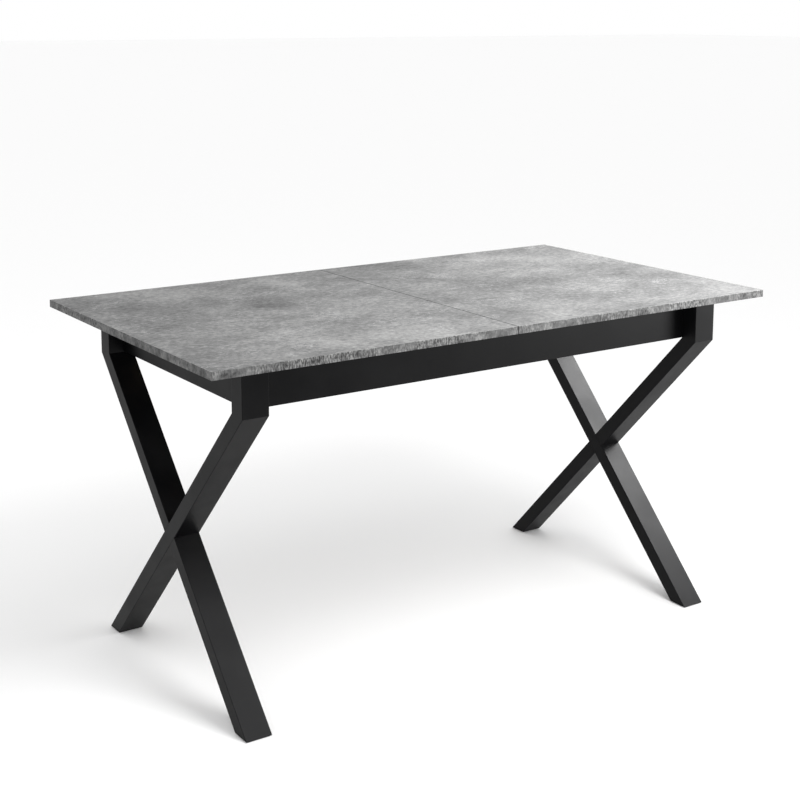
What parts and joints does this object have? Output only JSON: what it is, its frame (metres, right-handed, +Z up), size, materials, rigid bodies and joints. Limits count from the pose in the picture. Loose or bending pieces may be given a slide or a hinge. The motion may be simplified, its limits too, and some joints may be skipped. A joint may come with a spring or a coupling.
{
  "type": "extendable dining table",
  "caption": "Rectangular extendable dining table: concrete-look top in two sliding halves with a stored leaf, on a black frame with X-shaped end legs.",
  "frame": {"origin": "on the floor under the centre of the closed table", "axes": "+X along the table's length to its right end, +Y towards its back, +Z up"},
  "size_m": [1.4, 0.782, 0.756],
  "materials": {
    "concrete_laminate": "matte concrete-look laminate on particle board",
    "concrete_edge_band": "matte concrete-look edge band",
    "black_lacquered_wood": "satin black lacquer",
    "zinc_steel": "zinc-plated steel",
    "beech_wood": "planed, unfinished",
    "white_nylon": "slick nylon",
    "black_plastic": "moulded",
    "black_rubber": "matte",
    "grey_felt": "felt"
  },
  "bodies": {
    "base": {"apron_glide_strips": "white_nylon", "back_apron": "black_lacquered_wood", "bearer_angles": "zinc_steel", "bearer_screws": "zinc_steel", "channel_screws": "zinc_steel", "corner_block_screws": "zinc_steel", "foot_glides": "black_plastic", "front_apron": "black_lacquered_wood", "leaf": "concrete_laminate", "leaf_dowels": "beech_wood", "leaf_edge_bands": "concrete_edge_band", "leaf_rest_pads": "grey_felt", "left_apron": "black_lacquered_wood", "left_back_corner_block": "beech_wood", "left_back_leg": "black_lacquered_wood", "left_back_slide_channel": "zinc_steel", "left_front_corner_block": "beech_wood", "left_front_leg": "black_lacquered_wood", "left_front_slide_channel": "zinc_steel", "left_leaf_bearer": "beech_wood", "leg_dowels": "beech_wood", "right_apron": "black_lacquered_wood", "right_back_corner_block": "beech_wood", "right_back_leg": "black_lacquered_wood", "right_back_slide_channel": "zinc_steel", "right_front_corner_block": "beech_wood", "right_front_leg": "black_lacquered_wood", "right_front_slide_channel": "zinc_steel", "right_leaf_bearer": "beech_wood", "slide_buffers": "black_rubber"},
    "left_half": {"alignment_dowels": "beech_wood", "back_latch_plate": "zinc_steel", "front_latch_plate": "zinc_steel", "latch_rivets": "zinc_steel", "latch_screws": "zinc_steel", "left_back_slide_bar": "zinc_steel", "left_batten_screws": "zinc_steel", "left_bracket_screws": "zinc_steel", "left_front_slide_bar": "zinc_steel", "left_slide_brackets": "zinc_steel", "left_top_batten": "beech_wood", "top_left": "concrete_laminate", "top_left_edge_band": "concrete_edge_band"},
    "right_half": {"back_latch_catch": "zinc_steel", "catch_screws": "zinc_steel", "front_latch_catch": "zinc_steel", "right_back_slide_bar": "zinc_steel", "right_batten_screws": "zinc_steel", "right_bracket_screws": "zinc_steel", "right_front_slide_bar": "zinc_steel", "right_slide_brackets": "zinc_steel", "right_top_batten": "beech_wood", "top_right": "concrete_laminate", "top_right_edge_band": "concrete_edge_band"},
    "left_ball_cages": {"left_back_ball_cage": "zinc_steel", "left_front_ball_cage": "zinc_steel"},
    "right_ball_cages": {"right_back_ball_cage": "zinc_steel", "right_front_ball_cage": "zinc_steel"},
    "front_latch": {"front_latch_lever": "zinc_steel"},
    "back_latch": {"back_latch_lever": "zinc_steel"}
  },
  "joints": [
    {"name": "left_half_slide", "type": "slide", "parent": "base", "child": "left_half", "axis": [-1, 0, 0], "range_m": [0, 0.2]},
    {"name": "right_half_slide", "type": "slide", "parent": "base", "child": "right_half", "axis": [1, 0, 0], "range_m": [0, 0.2]},
    {"name": "left_cage_roll", "type": "slide", "parent": "base", "child": "left_ball_cages", "axis": [-1, 0, 0], "range_m": [0, 0.1]},
    {"name": "right_cage_roll", "type": "slide", "parent": "base", "child": "right_ball_cages", "axis": [1, 0, 0], "range_m": [0, 0.1]},
    {"name": "front_latch_turn", "type": "hinge", "parent": "left_half", "child": "front_latch", "pos_m": [-0.03, -0.15, 0.7357], "axis": [0, 0, 1], "range_deg": [0, 90]},
    {"name": "back_latch_turn", "type": "hinge", "parent": "left_half", "child": "back_latch", "pos_m": [-0.03, 0.15, 0.7357], "axis": [0, 0, 1], "range_deg": [0, 90]}
  ],
  "couplings": [
    {"joint": "left_cage_roll", "follows": "left_half_slide", "ratio": 0.5},
    {"joint": "right_cage_roll", "follows": "right_half_slide", "ratio": 0.5}
  ]
}
